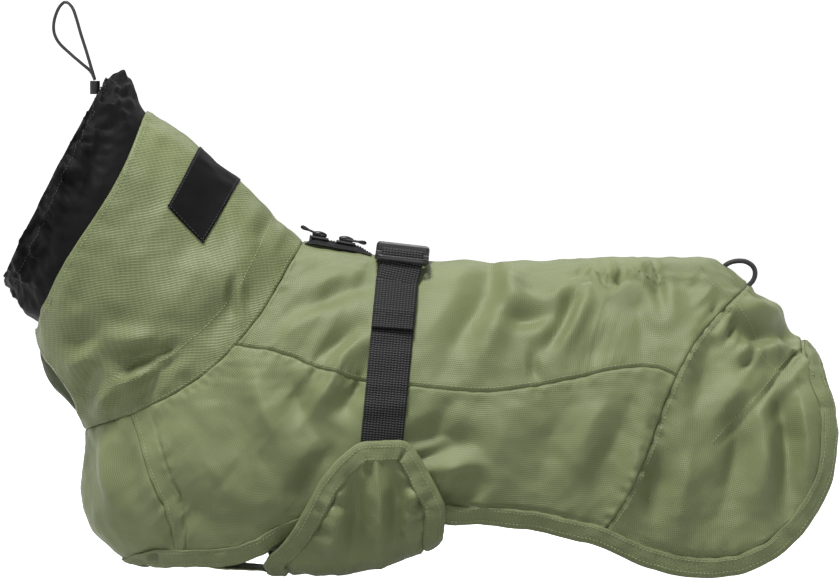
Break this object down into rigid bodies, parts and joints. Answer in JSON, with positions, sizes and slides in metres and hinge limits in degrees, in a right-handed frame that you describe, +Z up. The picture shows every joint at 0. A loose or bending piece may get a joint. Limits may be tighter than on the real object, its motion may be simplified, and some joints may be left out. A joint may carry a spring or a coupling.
{
  "type": "dog raincoat",
  "caption": "Olive dog raincoat in worn shape: hollow cloth body, ripstop collar, black gathered snood, belly flap, webbing strap with buckle and a short back zip.",
  "frame": {"origin": "on the inner face of the back, on the spine line, where the coat rests on the wearer's back", "axes": "+X from the neck to the tail, +Y to the wearer's right side, +Z up"},
  "size_m": [0.4986, 0.1444, 0.3431],
  "materials": {
    "shell_cloth": "olive waterproof twill, dull sheen",
    "collar_cloth": "olive waterproof ripstop, dull sheen",
    "gusset_cloth": "dark olive stretch cloth, matt",
    "snood_cloth": "black soft cloth, matt",
    "edging": "olive folded binding of the shell cloth",
    "webbing": "black ribbed webbing",
    "patch": "black woven patch, bare",
    "plastic": "black moulded plastic, satin",
    "tape": "dark grey zip tape",
    "metal": "black painted zip slider",
    "elastic": "black covered elastic cord"
  },
  "bodies": {
    "coat": {"back_panel": "shell_cloth", "side_panel_left": "shell_cloth", "side_panel_right": "shell_cloth", "chest_panel": "shell_cloth", "rump_panel": "shell_cloth", "belly_panel": "shell_cloth", "front_hem": "edging", "rear_hem": "edging", "flap_binding": "edging", "collar": "collar_cloth", "throat_gusset": "gusset_cloth", "snood": "snood_cloth", "label_patch": "patch", "strap_left": "webbing", "strap_right": "webbing", "buckle_socket": "plastic", "buckle_plug": "plastic", "zip_tape_left": "tape", "zip_tape_right": "tape", "zip_slider_front": "metal", "zip_slider_rear": "metal", "neck_cord": "elastic", "tail_loop": "elastic", "cord_end": "plastic"},
    "front_pull": {"zip_pull_front": "elastic"},
    "rear_pull": {"zip_pull_rear": "elastic"}
  },
  "joints": [
    {"name": "front_pull_hinge", "type": "hinge", "parent": "coat", "child": "front_pull", "pos_m": [-0.07221, 0, 0.01755], "axis": [0, 1, 0], "range_deg": [-12, 110]},
    {"name": "rear_pull_hinge", "type": "hinge", "parent": "coat", "child": "rear_pull", "pos_m": [-0.0562, 0, 0.01466], "axis": [0, -1, 0], "range_deg": [0, 110]}
  ]
}
